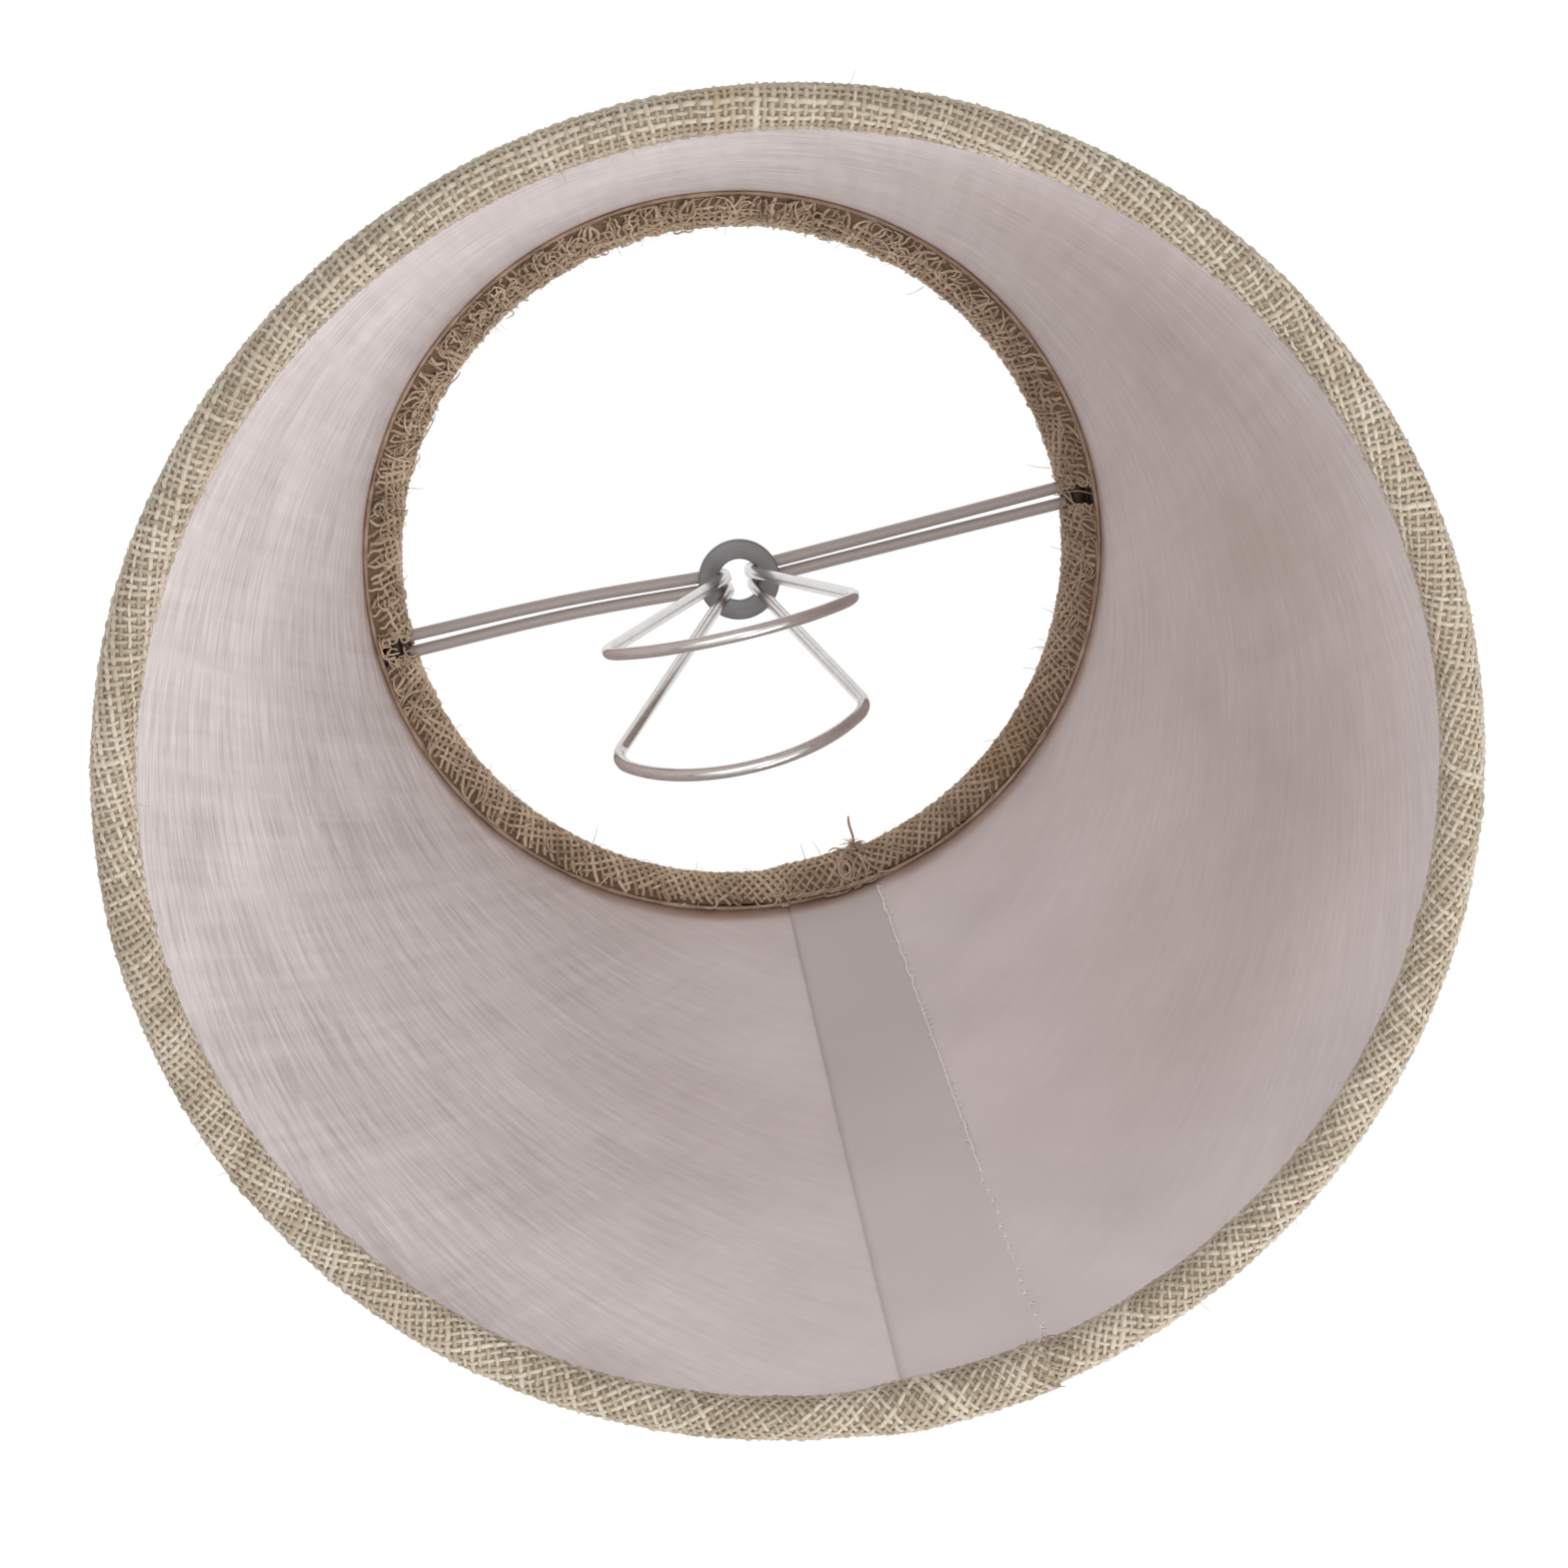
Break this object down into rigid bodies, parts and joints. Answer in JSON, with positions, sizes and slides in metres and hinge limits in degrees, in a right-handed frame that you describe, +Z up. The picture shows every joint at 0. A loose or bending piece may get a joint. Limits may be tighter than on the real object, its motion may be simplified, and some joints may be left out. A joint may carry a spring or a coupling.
{
  "type": "lamp shade",
  "caption": "Small clip-on empire lamp shade: coarse woven cloth turned over two wire rings, film liner, crossbars, washer and two sprung bulb-clip loops.",
  "frame": {"origin": "centre of the lower rim, on the surface that the shade stands on", "axes": "+Z up through the top ring, X along the crossbars, the lap seam on the +Y side"},
  "size_m": [0.231, 0.231, 0.195],
  "materials": {
    "cover_cloth": "coarse open plain weave, natural fibre, matte",
    "liner_film": "translucent satin film with a faint woven look",
    "seam_tape": "thin double-sided tape",
    "glue": "dried clear adhesive, slightly yellow",
    "ring_steel": "plain drawn steel wire",
    "fitter_chrome": "bright plated steel wire",
    "washer_steel": "zinc-plated plain washer with fine turning marks"
  },
  "bodies": {
    "shade": {"fabric_cover": "cover_cloth", "cover_lap": "cover_cloth", "seam_tape": "seam_tape", "shade_liner": "liner_film", "bottom_ring": "ring_steel", "top_ring": "ring_steel", "bottom_glue_line": "glue", "top_glue_line": "glue", "crossbar_left_front": "fitter_chrome", "crossbar_left_back": "fitter_chrome", "crossbar_right_front": "fitter_chrome", "crossbar_right_back": "fitter_chrome", "crossbar_weld_left": "ring_steel", "crossbar_weld_right": "ring_steel", "fitter_washer": "washer_steel"},
    "front_clip": {"clip_loop_front": "fitter_chrome"},
    "back_clip": {"clip_loop_back": "fitter_chrome"}
  },
  "joints": [
    {"name": "front_clip_spring", "type": "hinge", "parent": "shade", "child": "front_clip", "pos_m": [0, 0.00185, 0.17905], "axis": [-1, 0, 0], "range_deg": [-2, 25], "stiffness_Nm_per_rad": 0.5},
    {"name": "back_clip_spring", "type": "hinge", "parent": "shade", "child": "back_clip", "pos_m": [0, 0.00455, 0.17905], "axis": [1, 0, 0], "range_deg": [-6, 18], "stiffness_Nm_per_rad": 0.5}
  ]
}
